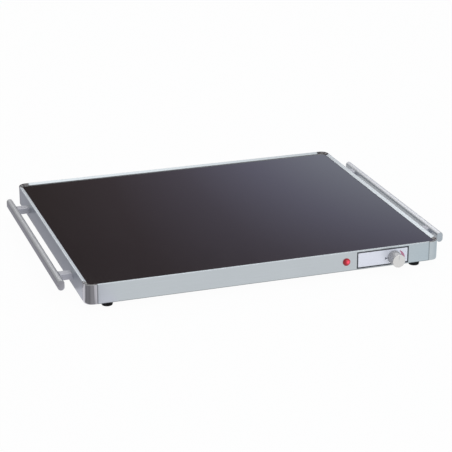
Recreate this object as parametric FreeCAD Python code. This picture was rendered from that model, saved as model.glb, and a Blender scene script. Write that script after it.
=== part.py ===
"""Electric food warmer tray: a dark glass hot plate in a satin aluminium frame.

Four extruded rails meet in four polished corner castings and hold the glass in a groove, with a silicone
gasket round its edge. A heating cable lies under an aluminium spreader plate against the glass, backed by
an insulation mat in a sheet pan, which the base plate presses up through six spring supports. The front
rail carries an indicator lamp and a thermostat with its knob, the rear rail a mains inlet for a detachable
lead, and each side rail a grip bar on two posts. The tray stands on four rubber feet.

Lengths are in millimetres. X runs from left to right, Y from front to back and Z up. The pieces are placed
about the middle of the frame; the origin is then moved to the middle of the whole footprint, on the floor.
"""

import FreeCAD
import Part

import math
import os

Vector = FreeCAD.Vector

# Frame
body_width = 600.0
body_depth = 500.0
rail_height = 33.5
rail_wall = 1.8
rim_width = 6.6
rim_thickness = 2.75
rim_edge = 0.2
rim_crest = 1.5
corner_radius = 14.0
corner_leg = 18.5
joint_gap = 0.4
rim_round = 1.3
foot_edge_round = 0.6
ledge_reach = 12.0
ledge_thickness = 1.6
flange_reach = 12.0
flange_thickness = 1.8
tongue_length = 24.0
tongue_thickness = 5.0
slide_clearance = 0.2
corner_screw_size = 4.0
corner_screw_length = 8.0

# Glass and its gasket
glass_thickness = 4.0
gasket_lip = 0.25
gasket_edge = 1.2
gasket_clearance = 0.1

# Heater stack under the glass
heater_margin = 40.0
spreader_thickness = 1.5
cable_diameter = 3.0
cable_runs = 12
cable_end_margin = 20.0
cable_tail = 4.0
insulation_thickness = 8.0
pan_sheet = 0.8
stack_clearance = 0.1
support_width = 30.0
support_length = 40.0
support_sheet = 1.0
support_columns = 3

# Base plate
base_thickness = 1.0
base_recess = 0.3
base_clearance = 0.4
base_screw_size = 3.5
base_screw_length = 7.0
base_screw_inset = 8.0
base_screws_per_long_side = 3
vent_length = 44.0
vent_width = 4.0
vent_pitch = 12.0
vent_count = 6

# Feet
foot_height = 9.6
foot_top_diameter = 19.6
foot_tread_diameter = 17.2
foot_side_inset = 38.0
foot_front_inset = 16.5
foot_screw_size = 4.0
foot_screw_length = 12.0
foot_bore_depth = 3.6

# Handles
grip_gap = 20.5
bar_thickness = 10.8
bar_height = 17.2
bar_length = 396.0
bar_end_round = 0.8
bar_drop = 16.9
post_end_inset = 39.2
post_width = 15.0
post_height = 11.0
post_round = 1.5
handle_screw_size = 5.0
handle_screw_bite = 6.0

# Control panel on the front rail
panel_width = 91.6
panel_height = 28.7
panel_drop = 2.9
panel_right_inset = 55.9
panel_pocket = 1.0
bezel_border = 2.0
bezel_proud = 0.3
bezel_round = 1.0
print_clearance = 0.1

# Knob and thermostat
knob_diameter = 22.2
knob_length = 20.5
knob_gap = 0.8
knob_right_inset = 26.3
knob_drop = 15.8
knob_face_round = 1.0
knob_cavity_diameter = 18.0
knob_cavity_depth = 6.0
pointer_width = 1.3
pointer_depth = 0.5
pointer_inner = 2.0
spindle_diameter = 6.0
spindle_flat = 1.0
running_clearance = 0.05
bushing_diameter = 10.0
bushing_reach = 4.6
nut_across_flats = 14.0
nut_thickness = 2.4
washer_thickness = 0.6
washer_diameter = 15.0
thermostat_width = 36.0
thermostat_height = 17.0
thermostat_length = 25.0
thermostat_front_gap = 0.4

# Sensor of the thermostat
bulb_diameter = 5.0
bulb_length = 80.0
bulb_setback = 24.0
capillary_diameter = 1.6
capillary_bend = 3.0
capillary_exit = 5.0

# Indicator lamp
lamp_gap = 18.4
lens_diameter = 12.6
lens_flange = 1.0
lens_dome = 2.8
lamp_hole = 9.0
lamp_depth = 18.0
lamp_wall = 1.0

# Mains inlet on the rear rail
inlet_right_inset = 95.0
inlet_flange_width = 48.0
inlet_flange_height = 22.5
inlet_flange_thickness = 2.0
inlet_body_width = 27.0
inlet_body_height = 19.6
inlet_depth = 19.0
inlet_socket_width = 24.0
inlet_socket_height = 16.4
inlet_floor = 2.0
inlet_pin_length = 11.0
inlet_pin_width = 2.0
inlet_pin_height = 4.0
inlet_pin_pitch = 7.0
inlet_pin_rise = 2.0
inlet_screw_spacing = 40.0
inlet_screw_size = 3.0

# Wiring
wire_diameter = 2.4
wire_bend = 7.0
wire_clearance = 0.1
wire_exit = 4.0
wire_drop = 12.0
wire_lane_gap = 12.0
lamp_wire_diameter = 1.6
lamp_wire_bend = 4.0
lamp_wire_exit = 5.0
lamp_wire_lead = 14.0
lamp_wire_spacing = 4.0
tab_width = 4.8
tab_thickness = 0.8
tab_length = 6.0
connector_wall = 1.0
connector_overhang = 1.5
connector_gap = 0.5
earth_stud_size = 4.0
earth_stud_length = 8.0
earth_stud_setback = 34.0
earth_stud_offset = 14.0
earth_ring_diameter = 9.0
earth_ring_thickness = 0.8
earth_barrel_wall = 0.6
earth_barrel_length = 6.0

# Heights and planes worked out from the sizes above
rail_bottom = foot_height
rail_top = rail_bottom + rail_height
groove_top = rail_top - rim_thickness
glass_top = groove_top - gasket_lip
glass_bottom = glass_top - glass_thickness
ledge_top = glass_bottom - gasket_lip
ledge_bottom = ledge_top - ledge_thickness
base_bottom = rail_bottom + base_recess
base_top = base_bottom + base_thickness
flange_bottom = base_top
flange_top = flange_bottom + flange_thickness
channel_middle = (flange_top + ledge_bottom) / 2
glass_inset = rail_wall + gasket_edge + gasket_clearance
spreader_bottom = glass_bottom - spreader_thickness
cable_middle = spreader_bottom - stack_clearance - cable_diameter / 2
insulation_top = cable_middle - cable_diameter / 2 - stack_clearance
insulation_bottom = insulation_top - insulation_thickness
pan_bottom = insulation_bottom - pan_sheet
front_face = -body_depth / 2
rear_face = body_depth / 2
side_face = body_width / 2
rail_end_x = side_face - corner_leg - joint_gap
rail_end_y = rear_face - corner_leg - joint_gap
bar_middle = rail_top - bar_drop
post_spacing = bar_length - 2 * post_end_inset
panel_right = side_face - panel_right_inset
panel_left = panel_right - panel_width
panel_top = rail_top - panel_drop
panel_bottom = panel_top - panel_height
knob_x = panel_right - knob_right_inset
knob_z = panel_top - knob_drop
lamp_x = panel_left - lamp_gap
lamp_z = panel_top - panel_height / 2
inlet_x = side_face - inlet_right_inset
inlet_z = channel_middle
heater_half_width = side_face - heater_margin
heater_half_depth = rear_face - heater_margin
thermostat_back = front_face + rail_wall + thermostat_front_gap + thermostat_length
front_reach = -front_face + knob_gap + knob_length
rear_reach = rear_face + inlet_flange_thickness
origin_shift = Vector(0, (front_reach - rear_reach) / 2, 0)

OVERRUN = 1.0
X_AXIS = Vector(1, 0, 0)
Y_AXIS = Vector(0, 1, 0)
Z_AXIS = Vector(0, 0, 1)


def box(low, high):
    """A box between two opposite corners."""
    return Part.makeBox(high[0] - low[0], high[1] - low[1], high[2] - low[2], Vector(*low))


def rod(start, axis, diameter, length):
    """A round bar from start along axis."""
    return Part.makeCylinder(diameter / 2, length, Vector(*start), axis)


def rounded_plate(width, depth, radius, bottom, top):
    """A plate centred on the frame, with round upright corners."""
    plate = box((-width / 2, -depth / 2, bottom), (width / 2, depth / 2, top))
    upright = [e for e in plate.Edges if abs(e.Vertexes[0].Z - e.Vertexes[1].Z) > (top - bottom) / 2]
    return plate.makeFillet(radius, upright)


def frame_layer(inset, bottom, top):
    """The plan of the frame drawn in by inset, from bottom to top."""
    smallest_radius = 0.5
    radius = max(corner_radius - inset, smallest_radius)
    return rounded_plate(body_width - 2 * inset, body_depth - 2 * inset, radius, bottom, top)


def frame_outline(inset, height):
    """The plan outline of the frame drawn in by inset, at one height."""
    layer = frame_layer(inset, height, height + OVERRUN)
    return min(layer.Faces, key=lambda face: face.CenterOfMass.z).OuterWire


def round_edges(shape, radius, chosen):
    """Rounds the edges that chosen picks."""
    return shape.makeFillet(radius, [e for e in shape.Edges if chosen(e)])


def hexagon(centre, axis, across_flats, thickness):
    """A hexagonal prism from centre along axis."""
    corner = across_flats / 2 / math.cos(math.pi / 6)
    points = [
        Vector(corner * math.cos(k * math.pi / 3), corner * math.sin(k * math.pi / 3), 0) for k in range(7)
    ]
    prism = Part.Face(Part.makePolygon(points)).extrude(Vector(0, 0, thickness))
    prism.Placement = FreeCAD.Placement(Vector(*centre), FreeCAD.Rotation(Z_AXIS, axis))
    return prism


def screw(tip, axis, size, length):
    """A pan-head screw: tip is the end of its shank, and axis points from the tip to the head."""
    tip = Vector(*tip)
    head_diameter = 1.9 * size
    head_height = 0.6 * size
    slot_depth = 0.45 * head_height
    slot_width = 0.25 * size
    shank = Part.makeCylinder(size / 2, length, tip, axis)
    head = Part.makeCylinder(head_diameter / 2, head_height, tip + axis * length, axis)
    top = tip + axis * (length + head_height - slot_depth)
    across = axis.cross(X_AXIS) if abs(axis.x) < 0.5 else axis.cross(Y_AXIS)
    blade = Part.makeBox(slot_width, head_diameter, slot_depth + OVERRUN)
    blade.translate(Vector(-slot_width / 2, -head_diameter / 2, 0))
    turn = FreeCAD.Rotation(axis.cross(across), across, axis, "ZYX")
    blade.Placement = FreeCAD.Placement(top, turn).multiply(blade.Placement)
    return shank.fuse(head).removeSplitter().cut(blade)


def tube(points, diameter, bend):
    """A round wire through points, its corners turned on arcs of radius bend or as large as the runs allow."""
    points = [Vector(*p) for p in points]
    edges = []
    start = points[0]
    for before, corner, after in zip(points, points[1:], points[2:]):
        into = (corner - before).normalize()
        out = (after - corner).normalize()
        half = into.getAngle(out) / 2
        shorter = min((corner - before).Length, (after - corner).Length)
        radius = min(bend, 0.45 * shorter / math.tan(half))
        back = radius * math.tan(half)
        first = corner - into * back
        last = corner + out * back
        inward = (out - into).normalize()
        middle = corner + inward * (radius / math.cos(half) - radius)
        edges.append(Part.LineSegment(start, first).toShape())
        edges.append(Part.Arc(first, middle, last).toShape())
        start = last
    edges.append(Part.LineSegment(start, points[-1]).toShape())
    path = Part.Wire(edges)
    ring = Part.Wire(Part.Circle(points[0], points[1] - points[0], diameter / 2).toShape())
    pipe = path.makePipeShell([ring], True, False)
    wanted = math.pi * diameter**2 / 4 * path.Length
    print(f"wire of {path.Length:.0f} mm, volume off by {100 * (pipe.Volume / wanted - 1):.2f} per cent")
    return pipe


def mirrored(shape, across_x, across_y):
    """A copy of a front-left shape, carried to another side of the frame."""
    copy = shape.copy()
    if across_x:
        copy = copy.mirror(Vector(0, 0, 0), X_AXIS)
    if across_y:
        copy = copy.mirror(Vector(0, 0, 0), Y_AXIS)
    return copy


# Frame
def rim_bevel():
    """What the rim loses so that it slopes from its crest down to a thin edge at the glass."""
    drop = rim_thickness - rim_edge
    lean = (rim_width - rim_crest) / drop
    low = frame_outline(rim_width + OVERRUN * lean, rail_top - drop - OVERRUN)
    high = frame_outline(rim_crest - OVERRUN * lean, rail_top + OVERRUN)
    return Part.makeLoft([low, high], True, True)


def frame_ring():
    """The whole frame in one piece: outer wall, rim over the glass, ledge under it and flange for the base."""
    ring = frame_layer(0, rail_bottom, rail_top)
    ring = round_edges(ring, rim_round, lambda e: min(v.Z for v in e.Vertexes) > rail_top - 0.01)
    ring = round_edges(ring, foot_edge_round, lambda e: max(v.Z for v in e.Vertexes) < rail_bottom + 0.01)
    ring = ring.cut(frame_layer(rim_width, groove_top - OVERRUN, rail_top + OVERRUN))
    ring = ring.cut(rim_bevel())
    ring = ring.cut(frame_layer(rail_wall, ledge_top, groove_top))
    ring = ring.cut(frame_layer(ledge_reach, ledge_bottom - OVERRUN, ledge_top + OVERRUN))
    ring = ring.cut(frame_layer(rail_wall, flange_top, ledge_bottom))
    ring = ring.cut(frame_layer(flange_reach, flange_bottom - OVERRUN, flange_top + OVERRUN))
    return ring.cut(frame_layer(rail_wall, rail_bottom - OVERRUN, flange_bottom))


def front_rail_blank(ring):
    low = (-rail_end_x, front_face - OVERRUN, 0)
    high = (rail_end_x, front_face + corner_leg, rail_top + OVERRUN)
    return ring.common(box(low, high))


def side_rail_blank(ring):
    low = (-side_face - OVERRUN, -rail_end_y, 0)
    high = (-side_face + corner_leg, rail_end_y, rail_top + OVERRUN)
    return ring.common(box(low, high))


def corner_screw_spots():
    """Where a screw goes up through a rail's flange into each tongue of the front-left corner."""
    along = corner_leg + tongue_length / 2
    across = rail_wall + slide_clearance + tongue_thickness / 2
    return [(-side_face + along, front_face + across), (-side_face + across, front_face + along)]


def base_screw_spots():
    """The screws that hold the base plate to the flange, as plan positions."""
    x_edge = side_face - base_screw_inset
    y_edge = rear_face - base_screw_inset
    spots = []
    for k in range(base_screws_per_long_side):
        share = (k + 0.5) / base_screws_per_long_side - 0.5
        spots += [(share * 2 * (x_edge - corner_leg), y) for y in (-y_edge, y_edge)]
    return spots + [(x, 0) for x in (-x_edge, x_edge)]


def drilled(shape, spots, diameter, bottom, top):
    """The shape with an upright hole at each spot."""
    for x, y in spots:
        shape = shape.cut(rod((x, y, bottom), Z_AXIS, diameter, top - bottom))
    return shape


def all_corner_screw_spots():
    return [(x * sx, y * sy) for x, y in corner_screw_spots() for sx in (1, -1) for sy in (1, -1)]


def flange_drilled(rail):
    """A rail with the holes in its flange for the corner screws and the base screws."""
    rail = drilled(rail, all_corner_screw_spots(), corner_screw_size, flange_bottom - OVERRUN, flange_top + OVERRUN)
    return drilled(rail, base_screw_spots(), base_screw_size, flange_bottom - OVERRUN, flange_top + OVERRUN)


def front_rail(ring):
    rail = flange_drilled(front_rail_blank(ring))
    pocket = box(
        (panel_left, front_face - OVERRUN, panel_bottom), (panel_right, front_face + panel_pocket, panel_top)
    )
    rail = rail.cut(pocket)
    through = rail_wall + 2 * OVERRUN
    rail = rail.cut(rod((knob_x, front_face - OVERRUN, knob_z), Y_AXIS, bushing_diameter + 0.2, through))
    return rail.cut(rod((lamp_x, front_face - OVERRUN, lamp_z), Y_AXIS, lamp_hole + 0.2, through))


def rear_rail(ring):
    rail = flange_drilled(mirrored(front_rail_blank(ring), False, True))
    half_width = inlet_body_width / 2 + slide_clearance
    half_height = inlet_body_height / 2 + slide_clearance
    rail = rail.cut(
        box(
            (inlet_x - half_width, rear_face - rail_wall - OVERRUN, inlet_z - half_height),
            (inlet_x + half_width, rear_face + OVERRUN, inlet_z + half_height),
        )
    )
    for side in (-1, 1):
        x = inlet_x + side * inlet_screw_spacing / 2
        start = (x, rear_face - rail_wall - OVERRUN, inlet_z)
        rail = rail.cut(rod(start, Y_AXIS, inlet_screw_size + 0.2, rail_wall + 2 * OVERRUN))
    return rail


def left_rail(ring):
    rail = flange_drilled(side_rail_blank(ring))
    for y in (-post_spacing / 2, post_spacing / 2):
        start = (-side_face - OVERRUN, y, bar_middle)
        rail = rail.cut(rod(start, X_AXIS, handle_screw_size + 0.3, rail_wall + 2 * OVERRUN))
    return rail


def corner_casting(ring):
    """The front-left corner, with a tongue into the end of each rail."""
    casting = ring.common(
        box(
            (-side_face - OVERRUN, front_face - OVERRUN, 0),
            (-side_face + corner_leg, front_face + corner_leg, rail_top + OVERRUN),
        )
    )
    bottom = flange_top + slide_clearance
    top = ledge_bottom - slide_clearance
    near = rail_wall + slide_clearance
    far = near + tongue_thickness
    root = corner_leg - tongue_thickness
    end = corner_leg + tongue_length
    filled = box(
        (-side_face, front_face, flange_top), (-side_face + corner_leg, front_face + corner_leg, ledge_bottom)
    )
    filled = filled.common(frame_layer(rail_wall / 2, flange_top, ledge_bottom))
    filled = filled.cut(frame_layer(far, flange_top - OVERRUN, ledge_bottom + OVERRUN))
    along_x = box((-side_face + root, front_face + near, bottom), (-side_face + end, front_face + far, top))
    along_y = box((-side_face + near, front_face + root, bottom), (-side_face + far, front_face + end, top))
    casting = casting.fuse([filled, along_x, along_y]).removeSplitter()
    return drilled(casting, corner_screw_spots(), corner_screw_size, bottom - OVERRUN, bottom + corner_screw_length)


def corner_screws():
    """Eight screws, up through the rails' flanges into the tongues of the castings."""
    tip = flange_bottom + corner_screw_length - slide_clearance
    head_room = base_top
    screws = []
    for x, y in all_corner_screw_spots():
        shank = rod((x, y, head_room), Z_AXIS, corner_screw_size, tip - head_room)
        screws.append(shank)
    return Part.makeCompound(screws)


# Glass
def glass_plate():
    return frame_layer(glass_inset, glass_bottom, glass_top)


def glass_gasket():
    """A silicone channel round the glass edge, held in the groove of the frame."""
    outer = frame_layer(rail_wall + gasket_clearance, ledge_top, groove_top)
    inner_reach = rim_width - gasket_lip
    outer = outer.cut(frame_layer(inner_reach, ledge_top - OVERRUN, groove_top + OVERRUN))
    return outer.cut(frame_layer(glass_inset, glass_bottom, glass_top))


# Heater stack
def heat_spreader():
    return box(
        (-heater_half_width, -heater_half_depth, spreader_bottom), (heater_half_width, heater_half_depth, glass_bottom)
    )


def cable_run_places():
    """The Y of each straight run of the heating cable, front to back."""
    reach = heater_half_depth - cable_end_margin / 2
    pitch = 2 * reach / (cable_runs - 1)
    return [-reach + k * pitch for k in range(cable_runs)]


def heating_cable():
    """One unbroken cable, to and fro under the spreader, with both ends at the right."""
    places = cable_run_places()
    turn = (places[1] - places[0]) / 2
    reach = heater_half_width - cable_end_margin - turn
    tail = heater_half_width + cable_tail
    edges = []
    start = Vector(tail, places[0], cable_middle)
    for k, y in enumerate(places):
        side = -1 if k % 2 == 0 else 1
        last_run = k == len(places) - 1
        end = Vector(tail if last_run else side * reach, y, cable_middle)
        edges.append(Part.LineSegment(start, end).toShape())
        if not last_run:
            middle = Vector(side * (reach + turn), y + turn, cable_middle)
            start = Vector(side * reach, places[k + 1], cable_middle)
            edges.append(Part.Arc(end, middle, start).toShape())
    path = Part.Wire(edges)
    ring = Part.Wire(Part.Circle(Vector(tail, places[0], cable_middle), X_AXIS, cable_diameter / 2).toShape())
    cable = path.makePipeShell([ring], True, False)
    wanted = math.pi * cable_diameter**2 / 4 * path.Length
    print(f"heating cable of {path.Length:.0f} mm, volume off by {100 * (cable.Volume / wanted - 1):.2f} per cent")
    return cable


def bulb_place():
    """The middle of the thermostat's sensor bulb, between two runs of the cable."""
    places = cable_run_places()
    pitch = places[1] - places[0]
    height = spreader_bottom - stack_clearance - bulb_diameter / 2
    return Vector(knob_x - bulb_setback - bulb_length / 2, places[0] + pitch / 2, height)


def insulation_mat():
    """The fibre mat in the pan, with a trough for the sensor bulb and its capillary."""
    inner_x = heater_half_width - pan_sheet - stack_clearance
    inner_y = heater_half_depth - pan_sheet - stack_clearance
    mat = box((-inner_x, -inner_y, insulation_bottom), (inner_x, inner_y, insulation_top))
    bulb = bulb_place()
    half = bulb_diameter / 2 + 1.0
    floor = capillary_height() - capillary_diameter
    trough = box(
        (bulb.x - bulb_length / 2 - 2, bulb.y - half, floor),
        (bulb.x + bulb_length / 2 + bulb_setback, bulb.y + half, insulation_top + OVERRUN),
    )
    lane_x = bulb.x + bulb_length / 2 + bulb_setback
    lane = box((lane_x - 2 * half, -inner_y - OVERRUN, floor), (lane_x, bulb.y + half, insulation_top + OVERRUN))
    return mat.cut(trough).cut(lane)


def capillary_lane_x():
    """Where the capillary crosses the front wall of the pan."""
    return bulb_place().x + bulb_length / 2 + bulb_setback - bulb_diameter / 2 - 1.0


def capillary_height():
    """The capillary's level where it passes below the heating cable."""
    return min(insulation_top, bulb_place().z) - capillary_diameter / 2 - stack_clearance


def reflector_pan():
    """The sheet pan under the insulation, with notches for the cable's tails and the capillary."""
    top = spreader_bottom - stack_clearance
    pan = box((-heater_half_width, -heater_half_depth, pan_bottom), (heater_half_width, heater_half_depth, top))
    inner_x = heater_half_width - pan_sheet
    inner_y = heater_half_depth - pan_sheet
    pan = pan.cut(box((-inner_x, -inner_y, insulation_bottom), (inner_x, inner_y, top + OVERRUN)))
    notch_half = cable_diameter / 2 + 0.7
    places = cable_run_places()
    for y in (places[0], places[-1]):
        low = (inner_x - OVERRUN, y - notch_half, cable_middle - notch_half)
        pan = pan.cut(box(low, (heater_half_width + OVERRUN, y + notch_half, top + OVERRUN)))
    x = capillary_lane_x()
    low = (x - notch_half, -heater_half_depth - OVERRUN, capillary_height() - notch_half)
    return pan.cut(box(low, (x + notch_half, -inner_y + OVERRUN, top + OVERRUN)))


def support_spots():
    """The middles of the spring supports, in two rows under the pan."""
    spacing = 2 * heater_half_width / support_columns
    row = heater_half_depth / 2
    return [((k - (support_columns - 1) / 2) * spacing, y) for k in range(support_columns) for y in (-row, row)]


def pan_supports():
    """Bent sheet bridges between the base plate and the pan."""
    bridges = []
    for x, y in support_spots():
        outer = box(
            (x - support_length / 2, y - support_width / 2, base_top),
            (x + support_length / 2, y + support_width / 2, pan_bottom),
        )
        inner = box(
            (x - support_length / 2 + support_sheet, y - support_width / 2 - OVERRUN, base_top - OVERRUN),
            (x + support_length / 2 - support_sheet, y + support_width / 2 + OVERRUN, pan_bottom - support_sheet),
        )
        bridges.append(outer.cut(inner))
    return Part.makeCompound(bridges)


# Base plate and feet
def foot_spots():
    x = side_face - foot_side_inset
    y = rear_face - foot_front_inset
    return {
        "front_left_foot": (-x, -y),
        "front_right_foot": (x, -y),
        "rear_left_foot": (-x, y),
        "rear_right_foot": (x, y),
    }


def base_plate():
    """The sheet that closes the tray from below, with vent slots in two fields."""
    plate = frame_layer(rail_wall + base_clearance, base_bottom, base_top)
    plate = drilled(plate, base_screw_spots(), base_screw_size + 0.3, base_bottom - OVERRUN, base_top + OVERRUN)
    plate = drilled(plate, foot_spots().values(), foot_screw_size, base_bottom - OVERRUN, base_top + OVERRUN)
    for side in (-1, 1):
        for k in range(vent_count):
            x = side * heater_half_width * 0.62 + (k - (vent_count - 1) / 2) * vent_pitch
            slot = box(
                (x - vent_width / 2, -vent_length / 2, base_bottom - OVERRUN),
                (x + vent_width / 2, vent_length / 2, base_top + OVERRUN),
            )
            plate = plate.cut(round_edges(slot, vent_width * 0.49, lambda e: abs(e.tangentAt(e.FirstParameter).z) > 0.9))
    return plate


def base_screws():
    """The screws up through the base plate into the flange, their heads within the recess of the feet."""
    return Part.makeCompound(
        [screw((x, y, base_bottom + base_screw_length), Z_AXIS * -1, base_screw_size, base_screw_length)
         for x, y in base_screw_spots()]
    )


def foot(x, y):
    """A rubber foot: a blunt cone with a bore for its screw's head."""
    cone = Part.makeCone(foot_tread_diameter / 2, foot_top_diameter / 2, base_bottom, Vector(x, y, 0))
    cone = round_edges(cone, 1.2, lambda e: e.Vertexes[0].Z < 0.01 and e.Length > foot_tread_diameter)
    bore = 1.9 * foot_screw_size + 1.0
    cone = cone.cut(rod((x, y, -OVERRUN), Z_AXIS, bore, foot_bore_depth + OVERRUN))
    return cone.cut(rod((x, y, 0), Z_AXIS, foot_screw_size, base_bottom + OVERRUN))


def foot_screws():
    tip = foot_bore_depth + foot_screw_length
    return Part.makeCompound(
        [screw((x, y, tip), Z_AXIS * -1, foot_screw_size, foot_screw_length) for x, y in foot_spots().values()]
    )


def foot_nuts():
    nuts = []
    for x, y in foot_spots().values():
        nut = hexagon((x, y, base_top), Z_AXIS, 1.75 * foot_screw_size, 0.8 * foot_screw_size)
        nuts.append(nut.cut(rod((x, y, base_top - OVERRUN), Z_AXIS, foot_screw_size, foot_screw_size + 2 * OVERRUN)))
    return Part.makeCompound(nuts)


# Handles
def grip_bar():
    """The left bar: a flat-sided oval length, with a threaded hole behind each post."""
    x = -side_face - grip_gap - bar_thickness
    bar = box(
        (x, -bar_length / 2, bar_middle - bar_height / 2),
        (x + bar_thickness, bar_length / 2, bar_middle + bar_height / 2),
    )
    bar = round_edges(bar, bar_thickness * 0.48, lambda e: abs(e.tangentAt(e.FirstParameter).y) > 0.9)
    bar = round_edges(bar, bar_end_round, lambda e: abs(e.CenterOfMass.y) > bar_length / 2 - 0.01)
    for y in (-post_spacing / 2, post_spacing / 2):
        start = (-side_face - grip_gap - handle_screw_bite - 0.5, y, bar_middle)
        bar = bar.cut(rod(start, X_AXIS, handle_screw_size, handle_screw_bite + OVERRUN))
    return bar


def handle_post(y):
    """A block between the left rail and the bar."""
    post = box(
        (-side_face - grip_gap, y - post_width / 2, bar_middle - post_height / 2),
        (-side_face, y + post_width / 2, bar_middle + post_height / 2),
    )
    post = round_edges(post, post_round, lambda e: abs(e.tangentAt(e.FirstParameter).x) > 0.9)
    return post.cut(rod((-side_face - grip_gap - OVERRUN, y, bar_middle), X_AXIS, handle_screw_size, grip_gap + 2 * OVERRUN))


def handle_screws():
    """Four long screws from inside the side rails, through the posts into the bars."""
    length = rail_wall + grip_gap + handle_screw_bite
    tip = -side_face - grip_gap - handle_screw_bite
    screws = []
    for y in (-post_spacing / 2, post_spacing / 2):
        left = screw((tip, y, bar_middle), X_AXIS, handle_screw_size, length)
        screws += [left, mirrored(left, True, False)]
    return Part.makeCompound(screws)


# Control panel
def panel_bezel():
    """The dark frame line round the control panel, seated in the pocket of the front rail."""
    outer = box(
        (panel_left, front_face - bezel_proud, panel_bottom), (panel_right, front_face + panel_pocket, panel_top)
    )
    outer = round_edges(outer, bezel_proud * 0.6, lambda e: max(v.Y for v in e.Vertexes) < front_face)
    inner = box(
        (panel_left + bezel_border, front_face - OVERRUN, panel_bottom + bezel_border),
        (panel_right - bezel_border, front_face + panel_pocket + OVERRUN, panel_top - bezel_border),
    )
    inner = round_edges(inner, bezel_round, lambda e: abs(e.tangentAt(e.FirstParameter).y) > 0.9)
    return outer.cut(inner)


def scale_plate():
    """The pale plate inside the bezel, which carries the printed scale."""
    edge = bezel_border + print_clearance
    plate = box(
        (panel_left + edge, front_face, panel_bottom + edge),
        (panel_right - edge, front_face + panel_pocket, panel_top - edge),
    )
    plate = round_edges(plate, bezel_round, lambda e: abs(e.tangentAt(e.FirstParameter).y) > 0.9)
    return plate.cut(rod((knob_x, front_face - OVERRUN, knob_z), Y_AXIS, bushing_diameter + 0.2, panel_pocket + 2 * OVERRUN))


# Knob and thermostat
def spindle_blank(diameter, flat_start, start, length):
    """A round bar along Y with a flat on its front part, from flat_start forwards."""
    blank = rod((knob_x, start, knob_z), Y_AXIS, diameter, length)
    flat_height = spindle_diameter / 2 - spindle_flat + (diameter - spindle_diameter) / 2
    flat = box(
        (knob_x - diameter, start - OVERRUN, knob_z - diameter), (knob_x + diameter, flat_start, knob_z - flat_height)
    )
    return blank.cut(flat)


knob_back = front_face - knob_gap
knob_front = knob_back - knob_length
hub_start = knob_back - knob_cavity_depth
spindle_front = knob_front + 4.0
spindle_back = front_face + rail_wall + thermostat_front_gap + 9.0


def control_knob():
    """A turned knob, hollow behind to clear the nut, with a D bore and a groove for its pointer."""
    body = rod((knob_x, knob_front, knob_z), Y_AXIS, knob_diameter, knob_length)
    body = round_edges(body, knob_face_round, lambda e: abs(e.CenterOfMass.y - knob_front) < 0.01)
    body = body.cut(rod((knob_x, hub_start, knob_z), Y_AXIS, knob_cavity_diameter, knob_cavity_depth + OVERRUN))
    bore_diameter = spindle_diameter + 2 * running_clearance
    body = body.cut(spindle_blank(bore_diameter, hub_start + OVERRUN, spindle_front - 0.2, hub_start - spindle_front + OVERRUN))
    return body.cut(knob_pointer())


def knob_pointer():
    """The dark line let into the face of the knob, pointing up."""
    return box(
        (knob_x - pointer_width / 2, knob_front, knob_z + pointer_inner),
        (knob_x + pointer_width / 2, knob_front + pointer_depth, knob_z + knob_diameter / 2 - knob_face_round - 0.4),
    )


def thermostat_spindle():
    return spindle_blank(spindle_diameter, hub_start, spindle_front, spindle_back - spindle_front)


def thermostat_body():
    """The switch housing behind the front rail, with its threaded bushing through the wall."""
    front = front_face + rail_wall + thermostat_front_gap
    housing = box(
        (knob_x - thermostat_width / 2, front, knob_z - thermostat_height / 2),
        (knob_x + thermostat_width / 2, thermostat_back, knob_z + thermostat_height / 2),
    )
    housing = round_edges(housing, 1.5, lambda e: abs(e.tangentAt(e.FirstParameter).y) > 0.9)
    bushing_front = front_face - bushing_reach
    bushing = rod((knob_x, bushing_front, knob_z), Y_AXIS, bushing_diameter, front - bushing_front + OVERRUN)
    shoulder = rod((knob_x, front_face + rail_wall, knob_z), Y_AXIS, bushing_diameter + 6.0, thermostat_front_gap + OVERRUN)
    housing = housing.fuse([bushing, shoulder]).removeSplitter()
    bore = spindle_diameter + 2 * running_clearance
    depth = spindle_back + 0.3 - bushing_front + OVERRUN
    return housing.cut(rod((knob_x, bushing_front - OVERRUN, knob_z), Y_AXIS, bore, depth))


def thermostat_washer():
    ring = rod((knob_x, front_face - washer_thickness, knob_z), Y_AXIS, washer_diameter, washer_thickness)
    return ring.cut(rod((knob_x, front_face - washer_thickness - OVERRUN, knob_z), Y_AXIS, bushing_diameter, 3 * OVERRUN))


def thermostat_nut():
    start = front_face - washer_thickness - nut_thickness
    nut = hexagon((knob_x, start, knob_z), Y_AXIS, nut_across_flats, nut_thickness)
    return nut.cut(rod((knob_x, start - OVERRUN, knob_z), Y_AXIS, bushing_diameter, nut_thickness + 2 * OVERRUN))


def sensor_bulb():
    bulb = bulb_place()
    return rod((bulb.x - bulb_length / 2, bulb.y, bulb.z), X_AXIS, bulb_diameter, bulb_length)


def capillary_tube():
    """The fine tube from the sensor bulb, under the cable and through the pan's front wall, to the thermostat."""
    bulb = bulb_place()
    bulb_end = bulb.x + bulb_length / 2
    lane = capillary_lane_x()
    low = capillary_height()
    entry_x = knob_x - thermostat_width / 4
    entry_z = knob_z + thermostat_height / 4
    loop_y = (thermostat_back - heater_half_depth) / 2
    return tube(
        [
            (bulb_end, bulb.y, bulb.z),
            (bulb_end + capillary_exit, bulb.y, bulb.z),
            (bulb_end + 2 * capillary_exit, bulb.y, low),
            (lane, bulb.y, low),
            (lane, loop_y, low),
            (entry_x, loop_y, entry_z),
            (entry_x, thermostat_back, entry_z),
        ],
        capillary_diameter,
        capillary_bend,
    )


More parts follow.
